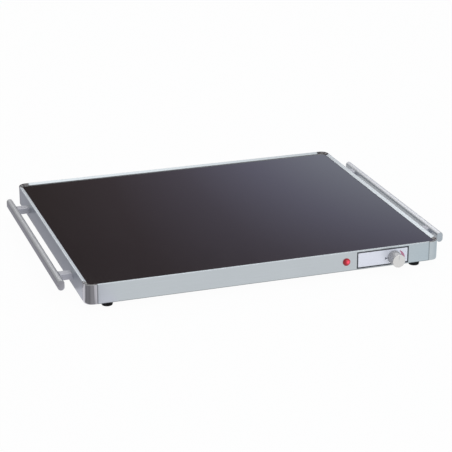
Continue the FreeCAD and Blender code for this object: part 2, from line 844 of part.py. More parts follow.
# Indicator lamp
def lamp_lens():
    """The red dome with its flange on the rail."""
    radius = lens_diameter / 2
    flange = rod((lamp_x, front_face - lens_flange, lamp_z), Y_AXIS, lens_diameter, lens_flange)
    sphere_radius = (radius**2 + lens_dome**2) / (2 * lens_dome)
    centre = Vector(lamp_x, front_face - lens_flange - lens_dome + sphere_radius, lamp_z)
    ball = Part.makeSphere(sphere_radius, centre)
    slab = rod((lamp_x, front_face - lens_flange - lens_dome, lamp_z), Y_AXIS, lens_diameter, lens_dome)
    lens = flange.fuse(ball.common(slab)).removeSplitter()
    hollow = lamp_hole - 2 * lamp_wall
    return lens.cut(rod((lamp_x, front_face - lens_flange, lamp_z), Y_AXIS, hollow, lens_flange + OVERRUN))


def lamp_holder():
    """The barrel behind the lens, through the hole in the rail."""
    barrel = rod((lamp_x, front_face, lamp_z), Y_AXIS, lamp_hole, lamp_depth)
    hollow = lamp_hole - 2 * lamp_wall
    return barrel.cut(rod((lamp_x, front_face - OVERRUN, lamp_z), Y_AXIS, hollow, lamp_depth - lamp_wall + OVERRUN))


def lamp_clip():
    """The push-on ring that holds the barrel against the inside of the rail."""
    start = front_face + rail_wall
    ring = rod((lamp_x, start, lamp_z), Y_AXIS, lamp_hole + 5.0, 1.2)
    return ring.cut(rod((lamp_x, start - OVERRUN, lamp_z), Y_AXIS, lamp_hole, 1.2 + 2 * OVERRUN))


def neon_tube():
    """The glow lamp in the barrel."""
    length = lamp_depth - lamp_wall - 3.0
    back = front_face + lamp_depth - lamp_wall
    return rod((lamp_x, back - length, lamp_z), Y_AXIS, lamp_hole - 2 * lamp_wall - 1.0, length)


# Mains inlet
def inlet_housing():
    """The recessed mains inlet: flange outside the rear rail, socket body inside."""
    half_width = inlet_flange_width / 2
    half_height = inlet_flange_height / 2
    flange = box(
        (inlet_x - half_width, rear_face, inlet_z - half_height),
        (inlet_x + half_width, rear_face + inlet_flange_thickness, inlet_z + half_height),
    )
    flange = round_edges(flange, 4.0, lambda e: abs(e.tangentAt(e.FirstParameter).y) > 0.9)
    back = rear_face - inlet_depth
    body = box(
        (inlet_x - inlet_body_width / 2, back, inlet_z - inlet_body_height / 2),
        (inlet_x + inlet_body_width / 2, rear_face + OVERRUN, inlet_z + inlet_body_height / 2),
    )
    housing = flange.fuse(body).removeSplitter()
    socket = box(
        (inlet_x - inlet_socket_width / 2, back + inlet_floor, inlet_z - inlet_socket_height / 2),
        (inlet_x + inlet_socket_width / 2, rear_face + 2 * inlet_flange_thickness, inlet_z + inlet_socket_height / 2),
    )
    cut_corner = inlet_socket_height * 0.3
    socket = socket.makeChamfer(
        cut_corner,
        [e for e in socket.Edges if abs(e.tangentAt(e.FirstParameter).y) > 0.9 and e.CenterOfMass.z > inlet_z],
    )
    housing = housing.cut(socket)
    for x, y, z in inlet_pin_roots():
        low = (x - inlet_pin_width / 2, back - OVERRUN, z - inlet_pin_height / 2)
        housing = housing.cut(box(low, (x + inlet_pin_width / 2, y, z + inlet_pin_height / 2)))
    for side in (-1, 1):
        start = (inlet_x + side * inlet_screw_spacing / 2, rear_face - OVERRUN, inlet_z)
        housing = housing.cut(rod(start, Y_AXIS, inlet_screw_size, inlet_flange_thickness + 2 * OVERRUN))
    return housing


def inlet_pin_roots():
    """Where the three pins stand on the socket's floor: live, earth and neutral."""
    floor = rear_face - inlet_depth + inlet_floor
    return [
        (inlet_x + k * inlet_pin_pitch, floor, inlet_z + (inlet_pin_rise if k == 0 else -inlet_pin_rise))
        for k in (-1, 0, 1)
    ]


def inlet_pins():
    """Three flat pins through the floor of the socket, long enough behind it for the wires."""
    pins = []
    for x, floor, z in inlet_pin_roots():
        pins.append(
            box(
                (x - inlet_pin_width / 2, floor - inlet_floor - tab_length, z - inlet_pin_height / 2),
                (x + inlet_pin_width / 2, floor + inlet_pin_length, z + inlet_pin_height / 2),
            )
        )
    return Part.makeCompound(pins)


def inlet_screws():
    screws = []
    length = rail_wall + inlet_flange_thickness + 4.0
    tip = rear_face + inlet_flange_thickness - length
    for side in (-1, 1):
        x = inlet_x + side * inlet_screw_spacing / 2
        screws.append(rod((x, tip, inlet_z), Y_AXIS, inlet_screw_size, length))
    return Part.makeCompound(screws)


def inlet_nuts():
    nuts = []
    for side in (-1, 1):
        x = inlet_x + side * inlet_screw_spacing / 2
        start = (x, rear_face - rail_wall, inlet_z)
        nut = hexagon(start, Y_AXIS * -1, 1.8 * inlet_screw_size, 0.8 * inlet_screw_size)
        nuts.append(nut.cut(rod((x, rear_face - rail_wall - 5, inlet_z), Y_AXIS, inlet_screw_size, 6)))
    return Part.makeCompound(nuts)


# Wiring
floor_wire_z = base_top + wire_clearance + wire_diameter / 2


def connector(low, high, along):
    """A push-on connector round the tab between two corners, with the wire's end at along times its length."""
    root = low[1] if along > 0 else high[1]
    tip = high[1] if along > 0 else low[1]
    start = root + along * connector_gap
    end = tip + along * connector_overhang
    shell = box(
        (low[0] - connector_wall, min(start, end), low[2] - connector_wall),
        (high[0] + connector_wall, max(start, end), high[2] + connector_wall),
    )
    return shell.cut(box(low, high))


def inlet_tab(k):
    """The part of an inlet pin behind the housing, as two corners."""
    x, floor, z = inlet_pin_roots()[k + 1]
    back = floor - inlet_floor
    low = (x - inlet_pin_width / 2, back - tab_length, z - inlet_pin_height / 2)
    return low, (x + inlet_pin_width / 2, back, z + inlet_pin_height / 2)


def thermostat_tab(side):
    """A blade terminal of the thermostat, as two corners."""
    x = knob_x + side * thermostat_width / 4
    z = knob_z - thermostat_height / 4
    low = (x - tab_width / 2, thermostat_back, z - tab_thickness / 2)
    return low, (x + tab_width / 2, thermostat_back + tab_length, z + tab_thickness / 2)


def thermostat_terminals():
    return Part.makeCompound([box(*thermostat_tab(side)) for side in (-1, 1)])


def wire_connectors():
    shells = [connector(*inlet_tab(k), -1) for k in (-1, 0, 1)]
    shells += [connector(*thermostat_tab(side), 1) for side in (-1, 1)]
    return Part.makeCompound(shells)


def inlet_wire_start(k):
    """Where a wire leaves its connector on an inlet pin."""
    low, high = inlet_tab(k)
    return Vector((low[0] + high[0]) / 2, low[1] - connector_overhang, (low[2] + high[2]) / 2)


def thermostat_wire_start(side):
    """Where a wire leaves its connector on the thermostat."""
    low, high = thermostat_tab(side)
    return Vector((low[0] + high[0]) / 2, high[1] + connector_overhang, (low[2] + high[2]) / 2)


def cable_end(y):
    """A cold end of the heating cable, at the right of the pan."""
    return Vector(heater_half_width + cable_tail, y, cable_middle)


def live_wire():
    """From the inlet, along the base under the pan, to the thermostat."""
    start = inlet_wire_start(-1)
    end = thermostat_wire_start(-1)
    return tube(
        [
            start,
            (start.x, start.y - wire_exit, start.z),
            (start.x, start.y - wire_exit - wire_drop, floor_wire_z),
            (start.x, end.y + 2 * wire_drop, floor_wire_z),
            (end.x, end.y + wire_drop, floor_wire_z),
            (end.x, end.y + wire_exit, end.z),
            end,
        ],
        wire_diameter,
        wire_bend,
    )


def neutral_wire():
    """From the inlet to the rear end of the heating cable."""
    start = inlet_wire_start(1)
    end = cable_end(cable_run_places()[-1])
    lane = end.x + wire_lane_gap
    middle_y = (rear_face - inlet_depth - tab_length + heater_half_depth) / 2
    return tube(
        [
            start,
            (start.x, middle_y, start.z),
            (lane, middle_y, start.z),
            (lane, end.y, end.z),
            end,
        ],
        wire_diameter,
        wire_bend,
    )


def heater_wire():
    """From the thermostat to the front end of the heating cable."""
    start = thermostat_wire_start(1)
    end = cable_end(cable_run_places()[0])
    lane = end.x + wire_lane_gap
    return tube(
        [
            start,
            (start.x, start.y + wire_exit, start.z),
            (start.x + wire_drop, start.y + wire_drop, floor_wire_z),
            (lane, end.y - wire_exit, floor_wire_z),
            (lane, end.y, end.z),
            end,
        ],
        wire_diameter,
        wire_bend,
    )


def earth_stud_place():
    return inlet_x + earth_stud_offset, rear_face - inlet_depth - earth_stud_setback


def earth_stud():
    """The stud welded to the base plate."""
    x, y = earth_stud_place()
    return rod((x, y, base_top), Z_AXIS, earth_stud_size, earth_stud_length)


def earth_barrel_end():
    """Where the earth wire enters the barrel of its terminal."""
    x, y = earth_stud_place()
    half = wire_diameter / 2 + earth_barrel_wall
    return Vector(x - earth_stud_offset + half, y + earth_ring_diameter / 2 + earth_barrel_length, base_top + half)


def earth_terminal():
    """The ring terminal on the stud, with the barrel that holds the wire."""
    x, y = earth_stud_place()
    end = earth_barrel_end()
    half = end.z - base_top
    ring = rod((x, y, base_top), Z_AXIS, earth_ring_diameter, earth_ring_thickness)
    neck = box((end.x - half, y, base_top), (x, end.y, base_top + earth_ring_thickness))
    barrel = box((end.x - half, end.y - earth_barrel_length, base_top), (end.x + half, end.y, end.z + half))
    terminal = ring.fuse([neck, barrel]).removeSplitter()
    return terminal.cut(rod((x, y, base_top - OVERRUN), Z_AXIS, earth_stud_size, earth_stud_length))


def earth_nut():
    x, y = earth_stud_place()
    start = base_top + earth_ring_thickness
    nut = hexagon((x, y, start), Z_AXIS, 1.75 * earth_stud_size, 0.8 * earth_stud_size)
    return nut.cut(rod((x, y, start - OVERRUN), Z_AXIS, earth_stud_size, earth_stud_length))


def earth_wire():
    """From the inlet's middle pin down to the ring terminal on the base plate."""
    start = inlet_wire_start(0)
    end = earth_barrel_end()
    return tube(
        [start, (start.x, start.y - wire_exit, start.z), (end.x, end.y + wire_exit, end.z), end],
        wire_diameter,
        wire_bend,
    )


def lamp_wires():
    """The two thin leads from the lamp's barrel to the side of the thermostat."""
    wires = []
    side_x = knob_x - thermostat_width / 2
    middle_y = thermostat_back - thermostat_length / 2
    for side in (-1, 1):
        offset = side * lamp_wire_spacing / 2
        start = Vector(lamp_x + offset, front_face + lamp_depth, lamp_z)
        end = Vector(side_x, middle_y - offset, lamp_z)
        turn_y = start.y + lamp_wire_exit - offset
        route = [
            start,
            (start.x, turn_y, lamp_z),
            (start.x + lamp_wire_lead, turn_y, lamp_z),
            (end.x - lamp_wire_lead / 2, end.y, lamp_z),
            end,
        ]
        wires.append(tube(route, lamp_wire_diameter, lamp_wire_bend))
    return Part.makeCompound(wires)


def main():
    os.makedirs("parts", exist_ok=True)
    ring = frame_ring()
    corner = corner_casting(ring)
    left = left_rail(ring)
    bar = grip_bar()
    front_post = handle_post(-post_spacing / 2)
    pieces = {
        "front_rail": front_rail(ring),
        "rear_rail": rear_rail(ring),
        "left_rail": left,
        "right_rail": mirrored(left, True, False),
        "front_left_corner": corner,
        "front_right_corner": mirrored(corner, True, False),
        "rear_left_corner": mirrored(corner, False, True),
        "rear_right_corner": mirrored(corner, True, True),
        "corner_screws": corner_screws(),
        "glass_plate": glass_plate(),
        "glass_gasket": glass_gasket(),
        "heat_spreader": heat_spreader(),
        "heating_cable": heating_cable(),
        "insulation_mat": insulation_mat(),
        "reflector_pan": reflector_pan(),
        "pan_supports": pan_supports(),
        "base_plate": base_plate(),
        "base_screws": base_screws(),
        "foot_screws": foot_screws(),
        "foot_nuts": foot_nuts(),
        "left_grip_bar": bar,
        "right_grip_bar": mirrored(bar, True, False),
        "left_front_post": front_post,
        "left_rear_post": mirrored(front_post, False, True),
        "right_front_post": mirrored(front_post, True, False),
        "right_rear_post": mirrored(front_post, True, True),
        "handle_screws": handle_screws(),
        "panel_bezel": panel_bezel(),
        "scale_plate": scale_plate(),
        "control_knob": control_knob(),
        "knob_pointer": knob_pointer(),
        "thermostat_spindle": thermostat_spindle(),
        "thermostat_body": thermostat_body(),
        "thermostat_washer": thermostat_washer(),
        "thermostat_nut": thermostat_nut(),
        "thermostat_terminals": thermostat_terminals(),
        "sensor_bulb": sensor_bulb(),
        "capillary_tube": capillary_tube(),
        "lamp_lens": lamp_lens(),
        "lamp_holder": lamp_holder(),
        "lamp_clip": lamp_clip(),
        "neon_tube": neon_tube(),
        "inlet_housing": inlet_housing(),
        "inlet_pins": inlet_pins(),
        "inlet_screws": inlet_screws(),
        "inlet_nuts": inlet_nuts(),
        "wire_connectors": wire_connectors(),
        "live_wire": live_wire(),
        "neutral_wire": neutral_wire(),
        "heater_wire": heater_wire(),
        "earth_stud": earth_stud(),
        "earth_terminal": earth_terminal(),
        "earth_nut": earth_nut(),
        "earth_wire": earth_wire(),
        "lamp_wires": lamp_wires(),
    }
    for name, (x, y) in foot_spots().items():
        pieces[name] = foot(x, y)
    for name, shape in pieces.items():
        shape.translate(origin_shift)
        shape.exportStep(f"parts/{name}.step")
        print(f"{name}: {len(shape.Solids)} solids, {shape.Volume:.0f} mm3, valid {shape.isValid()}")


main()
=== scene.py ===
"""Looks of an electric food warmer tray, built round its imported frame.

Lengths are in metres. X runs to the right seen from the control side, Y to the back and Z up.
"""

import math

import bmesh
import bpy
from mathutils import Euler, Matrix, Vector


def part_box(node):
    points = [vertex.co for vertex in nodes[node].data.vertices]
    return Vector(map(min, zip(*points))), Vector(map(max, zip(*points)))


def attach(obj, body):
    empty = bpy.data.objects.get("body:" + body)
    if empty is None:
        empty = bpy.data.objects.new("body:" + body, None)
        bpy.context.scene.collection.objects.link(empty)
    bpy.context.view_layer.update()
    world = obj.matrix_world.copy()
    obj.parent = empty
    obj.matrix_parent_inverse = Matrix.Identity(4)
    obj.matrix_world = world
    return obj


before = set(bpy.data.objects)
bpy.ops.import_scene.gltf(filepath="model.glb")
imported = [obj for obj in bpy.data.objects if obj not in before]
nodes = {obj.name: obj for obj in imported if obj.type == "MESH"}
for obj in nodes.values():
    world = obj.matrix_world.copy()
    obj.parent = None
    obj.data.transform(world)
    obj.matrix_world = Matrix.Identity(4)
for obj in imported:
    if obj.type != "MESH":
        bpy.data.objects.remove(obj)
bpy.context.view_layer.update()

MM = 0.001
AXES = "XYZ"

# The camera, as solved from the straight edges of the frame in the photograph
RIM_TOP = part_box("front_rail")[1][2]
TRAY_MIDDLE_Y = (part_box("front_rail")[0][1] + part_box("rear_rail")[1][1]) / 2
CAMERA_FROM_RIM = (-0.82984, -2.47905, 0.96293)
CAMERA_YAW = 18.779
CAMERA_PITCH = 20.763
CAMERA_CLIP_END = 50.0
FOCAL_PIXELS = 1613.3
IMAGE_PIXELS = 452
SENSOR = 36.0

# The colours of the rails and the grip bars, and the middle part of a noise's values, which finishes use
ALUMINIUM = (0.52, 0.56, 0.59)
BAR_ALUMINIUM = (0.47, 0.48, 0.50)
NOISE_LOW = 0.3
NOISE_HIGH = 0.7

# The rails' painted shade: shares of the height for the dark lower edge, lengths for the dark ends at the
# joints
LIP_TOP = 0.027
ABOVE_LIP = 0.042
JOINT_SHADE_LENGTH = 0.9 * MM
PAST_JOINT_SHADE_LENGTH = 1.2 * MM

# The lamp's glow, whose brightest spot off the middle of its lens to the right and up is a painted highlight
GLOW_HIGHLIGHT_RIGHT = 1.6 * MM
GLOW_HIGHLIGHT_UP = 0.7 * MM
GLOW_REACH = 8 * MM

# The print of the scale plate: a wedge that widens clockwise round the knob, and a tick on the knob's left
INK_STANDOFF = 0.04 * MM
WEDGE_ANGLES = (math.radians(48), math.radians(100))
WEDGE_INNER_RADII = (13.4 * MM, 13.8 * MM)
WEDGE_OUTER_RADII = (14.8 * MM, 20.2 * MM)
WEDGE_STEPS = 28
WEDGE_SIDE_MARGIN = 1.0 * MM
WEDGE_TOP_MARGIN = 0.8 * MM
TICK_FROM_KNOB = ((-15.8 * MM, -3.5 * MM), (-10.6 * MM, -1.1 * MM), (-15.8 * MM, 1.3 * MM))

# The floor, and the share of it that shows as plain white to the camera and in reflections
FLOOR_REACH = 12.0
FLOOR_WHITE = 0.96

# The card behind the tray, which the glass mirrors. A line of one tone leans by BACK_LEAN at X = BACK_PIVOT,
# and its lean grows by BACK_FAN of that for each metre to the right.
BACK_CARD_X = (-0.15, 1.7)
BACK_CARD_Y = 2.0
BACK_CARD_Z = (0.58, 1.07)
BACK_LEAN = math.radians(20)
BACK_PIVOT = 0.6
BACK_FAN = 2.0
BACK_RANGE = (0.09, 0.53)

# The cards just above the floor round the front corners, and a flag along the tray's left side
CARD_LIFT = 0.001
CORNER_AXIS_INSET = 0.015
CORNER_CARD_INWARD = 0.04
CORNER_CARD_OUTWARD = 0.13
CORNER_CARD_BACK = 0.075
CORNER_CORE_RADIUS = 0.036
CORNER_BEARINGS = (math.radians(-90), math.radians(110))
FLAG_LEFT = -1.3
FLAG_BACK = 1.4
FLAG_GAP = 0.002


def make_camera():
    data = bpy.data.cameras.new("photo_camera")
    data.sensor_width = SENSOR
    data.lens = SENSOR * FOCAL_PIXELS / IMAGE_PIXELS
    data.clip_end = CAMERA_CLIP_END
    camera = bpy.data.objects.new("photo_camera", data)
    x, y, z = CAMERA_FROM_RIM
    camera.location = (x, y + TRAY_MIDDLE_Y, z + RIM_TOP)
    camera.rotation_euler = Euler((math.radians(90 - CAMERA_PITCH), 0, math.radians(-CAMERA_YAW)))
    bpy.context.scene.collection.objects.link(camera)
    bpy.context.scene.camera = camera


# Node helpers
def maths(tree, operation, *values):
    """The result of a Math node over numbers and sockets."""
    node = tree.nodes.new("ShaderNodeMath")
    node.operation = operation
    for socket, value in zip(node.inputs, values):
        if isinstance(value, (int, float)):
            socket.default_value = value
        else:
            tree.links.new(value, socket)
    return node.outputs["Value"]


def distance(tree, first, second):
    """The length of a step with these two parts, at right angles."""
    square = maths(tree, "MULTIPLY", second, second)
    return maths(tree, "SQRT", maths(tree, "MULTIPLY_ADD", first, first, square))


def spread(tree, source, start, end, low=0.0, high=1.0):
    """Source, which runs from start to end, spread out to run from low to high."""
    node = tree.nodes.new("ShaderNodeMapRange")
    node.inputs["From Min"].default_value = start
    node.inputs["From Max"].default_value = end
    node.inputs["To Min"].default_value = low
    node.inputs["To Max"].default_value = high
    tree.links.new(source, node.inputs["Value"])
    return node.outputs["Result"]


def colour_ramp(tree, source, stops):
    """Colours along source, with each stop a place from 0 to 1 and a colour."""
    node = tree.nodes.new("ShaderNodeValToRGB")
    elements = node.color_ramp.elements
    while len(elements) < len(stops):
        elements.new(0.5)
    for element, (place, colour) in zip(elements, stops):
        element.position = place
        element.color = (*colour, 1.0)
    tree.links.new(source, node.inputs["Fac"])
    return node.outputs["Color"]


def own_axis(tree, output, axis):
    """One axis of Texture Coordinate's output, Object for the place and Normal for the way a face looks."""
    coordinates = tree.nodes.new("ShaderNodeTexCoord")
    split = tree.nodes.new("ShaderNodeSeparateXYZ")
    tree.links.new(coordinates.outputs[output], split.inputs["Vector"])
    return split.outputs[axis]


def seen_or_mirrored(tree):
    """1 for a ray from the camera or by way of metal or glass, and 0 for a ray that lights something."""
    path = tree.nodes.new("ShaderNodeLightPath")
    seen = maths(tree, "MAXIMUM", path.outputs["Is Camera Ray"], path.outputs["Is Glossy Ray"])
    return maths(tree, "MAXIMUM", seen, path.outputs["Is Transmission Ray"])


def tone(colour, factor):
    return tuple(channel * factor for channel in colour)


def grey(value):
    return (value, value, value)


class Shader:
    """A Principled material with short ways to wire up procedural nodes."""

    def __init__(self, name, **values):
        self.material = bpy.data.materials.new(name)
        self.material.use_nodes = True
        self.tree = self.material.node_tree
        self.surface = self.tree.nodes["Principled BSDF"]
        for socket, value in values.items():
            self.surface.inputs[socket.replace("_", " ")].default_value = value

    def feed(self, socket, source):
        self.tree.links.new(source, self.surface.inputs[socket])

    def place(self, axis):
        return own_axis(self.tree, "Object", axis)

    def normal(self, axis):
        return own_axis(self.tree, "Normal", axis)

    def noise(self, scale, detail, roughness, stretch=(1.0, 1.0, 1.0)):
        coordinates = self.tree.nodes.new("ShaderNodeTexCoord")
        mapping = self.tree.nodes.new("ShaderNodeMapping")
        mapping.inputs["Scale"].default_value = stretch
        self.tree.links.new(coordinates.outputs["Object"], mapping.inputs["Vector"])
        node = self.tree.nodes.new("ShaderNodeTexNoise")
        node.inputs["Scale"].default_value = scale
        node.inputs["Detail"].default_value = detail
        node.inputs["Roughness"].default_value = roughness
        self.tree.links.new(mapping.outputs["Vector"], node.inputs["Vector"])
        return node.outputs["Fac"]

    def blend(self, *shares):
        """The sum of noises, each given with its share."""
        total = 0.0
        for source, share in shares:
            total = maths(self.tree, "MULTIPLY_ADD", source, share, total)
        return total

    def ramp(self, source, *stops):
        return colour_ramp(self.tree, source, stops)

    def mottled(self, source, dark, light):
        return self.ramp(source, (NOISE_LOW, dark), (NOISE_HIGH, light))

    def times(self, first, second):
        """Two colours multiplied; 6, 7 and 2 are the Mix node's own colour sockets."""
        node = self.tree.nodes.new("ShaderNodeMix")
        node.data_type = "RGBA"
        node.blend_type = "MULTIPLY"
        node.inputs["Factor"].default_value = 1.0
        self.tree.links.new(first, node.inputs[6])
        self.tree.links.new(second, node.inputs[7])
        return node.outputs[2]

    def colour(self, source):
        self.feed("Base Color", source)

    def roughness(self, source, rough):
        self.feed("Roughness", spread(self.tree, source, NOISE_LOW, NOISE_HIGH, *rough))

    def bump(self, height, depth, strength):
        node = self.tree.nodes.new("ShaderNodeBump")
        node.inputs["Strength"].default_value = strength
        node.inputs["Distance"].default_value = depth
        self.tree.links.new(height, node.inputs["Height"])
        self.feed("Normal", node.outputs["Normal"])


# Materials
def brushed_metal(name, colour, along, rough=(0.30, 0.40), metallic=1.0, shade=None):
    """Satin metal with fine brushing along one axis, given as its letter."""
    shader = Shader(name, Metallic=metallic)
    fine = [1.0, 1.0, 1.0]
    fine[AXES.index(along)] = 0.012
    wide = [value ** 0.8 for value in fine]
    streaks = shader.noise(scale=2600.0, detail=3.0, roughness=0.6, stretch=fine)
    coarse = shader.noise(scale=420.0, detail=2.0, roughness=0.5, stretch=wide)
    cloud = shader.noise(scale=16.0, detail=3.0, roughness=0.55)
    mix = shader.blend((streaks, 0.55), (coarse, 0.25), (cloud, 0.2))
    brushing = shader.ramp(mix, (0.32, tone(colour, 0.95)), (0.68, tone(colour, 1.05)))
    shader.colour(shader.times(brushing, shade(shader)) if shade else brushing)
    shader.roughness(mix, rough)
    shader.bump(streaks, depth=0.004 * MM, strength=0.6)
    return shader.material


def rail_painted_shade(node, axis, side, top):
    """Painted light and shade on a rail: a dark lower edge, dark ends at the joints, and a lit tone of sides
    and top.
    """
    heights = [vertex.co.z for vertex in nodes[node].data.vertices]
    places = [vertex.co[AXES.index(axis)] for vertex in nodes[node].data.vertices]
    start, end = min(places), max(places)
    joint_shade_share = JOINT_SHADE_LENGTH / (end - start)
    past_joint_shade_share = PAST_JOINT_SHADE_LENGTH / (end - start)

    def shade(shader):
        above = spread(shader.tree, shader.place("Z"), min(heights), max(heights))
        # Painted shade: the lower edge darker, standing for the dark underside mirrored in its rounding
        lower_edge_shade = shader.ramp(above, (0.0, grey(0.45)), (LIP_TOP, grey(0.55)), (ABOVE_LIP, grey(1.0)))
        # Painted shade at the ends, where the rail meets the corners
        along = spread(shader.tree, shader.place(axis), start, end)
        ends = shader.ramp(
            along,
            (joint_shade_share, grey(0.4)),
            (past_joint_shade_share, grey(1.0)),
            (1 - past_joint_shade_share, grey(1.0)),
            (1 - joint_shade_share, grey(0.7)),
        )
        # Painted light: each rail's own lighter or darker tone on its sides and on its top
        faces = shader.ramp(shader.normal("Z"), (0.4, grey(side)), (0.8, grey(top)))
        return shader.times(shader.times(lower_edge_shade, ends), faces)

    return shade


def bar_painted_shade(shader):
    """Painted shade: the drawn bars darker on their upper shoulders."""
    return shader.ramp(
        shader.normal("Z"),
        (0.0, grey(1.0)),
        (0.30, grey(0.72)),
        (0.70, grey(0.76)),
        (0.95, grey(0.84)),
    )


def post_painted_shade(shader):
    """Painted shade: the cast posts darker on top."""
    return shader.ramp(shader.normal("Z"), (0.30, grey(1.0)), (0.80, grey(0.70)))


def knob_painted_shade(shader):
    """Painted shade: the turned side of the knob darker than its face."""
    facing = maths(shader.tree, "ABSOLUTE", shader.normal("Y"))
    return shader.ramp(facing, (0.35, (0.64, 0.65, 0.68)), (0.85, grey(1.0)))


def polished_metal(name, colour):
    """A polished casting, with a painted dark reflection round its top edge, faint buffing waves and fine
    hairlines.
    """
    shader = Shader(name, Metallic=1.0)
    waves = shader.noise(scale=90.0, detail=2.0, roughness=0.5)
    hairlines = shader.noise(scale=1800.0, detail=2.0, roughness=0.6, stretch=(1.0, 1.0, 0.05))
    # Painted reflection: the rounded top edge darkened as if it mirrored dark surroundings
    edge = shader.ramp(
        shader.normal("Z"),
        (0.20, grey(1.0)),
        (0.42, (0.16, 0.15, 0.15)),
        (0.90, (0.16, 0.15, 0.15)),
        (0.97, (0.55, 0.54, 0.55)),
    )
    shader.colour(shader.times(shader.mottled(waves, tone(colour, 0.95), colour), edge))
    shader.roughness(hairlines, (0.035, 0.07))
    shader.bump(waves, depth=0.01 * MM, strength=0.4)
    return shader.material


def plain_metal(name, colour, rough=(0.25, 0.4)):
    """Plated or cast small parts, with a fine even grain."""
    shader = Shader(name, Metallic=1.0)
    speckle = shader.noise(scale=900.0, detail=3.0, roughness=0.6)
    shader.colour(shader.mottled(speckle, tone(colour, 0.88), tone(colour, 1.05)))
    shader.roughness(speckle, rough)
    shader.bump(speckle, depth=0.01 * MM, strength=0.4)
    return shader.material


def moulded(name, colour, rough=(0.4, 0.55), grain=1600.0, depth=0.02 * MM, **values):
    """Moulded plastic, rubber or ceramic, with a fine pitted skin and slight blotches."""
    shader = Shader(name, **values)
    pits = shader.noise(scale=grain, detail=2.0, roughness=0.6)
    blotches = shader.noise(scale=60.0, detail=3.0, roughness=0.6)
    shader.colour(shader.mottled(blotches, tone(colour, 0.85), tone(colour, 1.12)))
    shader.roughness(blotches, rough)
    shader.bump(pits, depth=depth, strength=0.6)
    return shader.material


def dark_glass(name):
    """Dark glass ceramic: a deep gloss, with faint wiping marks in the gloss only."""
    shader = Shader(name, IOR=1.5)
    wipes = shader.noise(scale=14.0, detail=4.0, roughness=0.6, stretch=(1.0, 0.35, 1.0))
    depth = shader.noise(scale=5.0, detail=2.0, roughness=0.5)
    shader.colour(shader.mottled(depth, (0.0070, 0.0060, 0.0062), (0.0085, 0.0075, 0.0078)))
    shader.roughness(wipes, (0.035, 0.075))
    return shader.material


def printed_plate(name):
    """The pale printed plate of the control panel: a fine satin grain under a clear film."""
    shader = Shader(name, Metallic=0.25, Coat_Weight=0.4, Coat_Roughness=0.15)
    grain = shader.noise(scale=2400.0, detail=2.0, roughness=0.5, stretch=(0.05, 1.0, 1.0))
    cloud = shader.noise(scale=30.0, detail=2.0, roughness=0.5)
    mix = shader.blend((grain, 0.4), (cloud, 0.6))
    shader.colour(shader.mottled(mix, (0.86, 0.88, 0.97), (0.90, 0.92, 1.0)))
    shader.roughness(grain, (0.32, 0.42))
    return shader.material


def red_lens(name):
    """The lamp's red lens: tinted plastic over a glowing lamp, with a painted highlight as its bright spot
    off the middle.
    """
    shader = Shader(name, Transmission_Weight=0.15, IOR=1.49, Specular_IOR_Level=0.35)
    cloud = shader.noise(scale=300.0, detail=2.0, roughness=0.5)
    shader.colour(shader.mottled(cloud, (0.20, 0.004, 0.008), (0.26, 0.007, 0.012)))
    shader.roughness(cloud, (0.08, 0.16))
    low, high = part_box("lamp_lens")
    to_local = nodes["lamp_lens"].matrix_world.inverted()
    middle = to_local @ Vector([(low[k] + high[k]) / 2 for k in range(3)])
    # Painted highlight: the glow is brightest at a point right of and above the lens middle
    x = maths(shader.tree, "SUBTRACT", shader.place("X"), middle.x + GLOW_HIGHLIGHT_RIGHT)
    z = maths(shader.tree, "SUBTRACT", shader.place("Z"), middle.z + GLOW_HIGHLIGHT_UP)
    away = spread(shader.tree, distance(shader.tree, x, z), 0.0, GLOW_REACH)
    glow = shader.ramp(
        away,
        (0.06, (0.95, 0.10, 0.18)),
        (0.25, (0.70, 0.05, 0.09)),
        (0.48, (0.24, 0.012, 0.022)),
        (0.80, (0.10, 0.004, 0.008)),
    )
    shader.feed("Emission Color", glow)
    shader.surface.inputs["Emission Strength"].default_value = 1.0
    return shader.material


def ink(name, colour):
    """Screen-printed ink, with a slightly uneven cover."""
    shader = Shader(name)
    cover = shader.noise(scale=1500.0, detail=3.0, roughness=0.6)
    shader.colour(shader.mottled(cover, tone(colour, 0.9), tone(colour, 1.1)))
    shader.roughness(cover, (0.35, 0.5))
    return shader.material


# The CAD nodes' finishes
def dress(material, *names):
    for name in names:
        slots = nodes[name].material_slots
        if not slots:
            nodes[name].data.materials.append(material)
        for slot in slots:
            slot.material = material


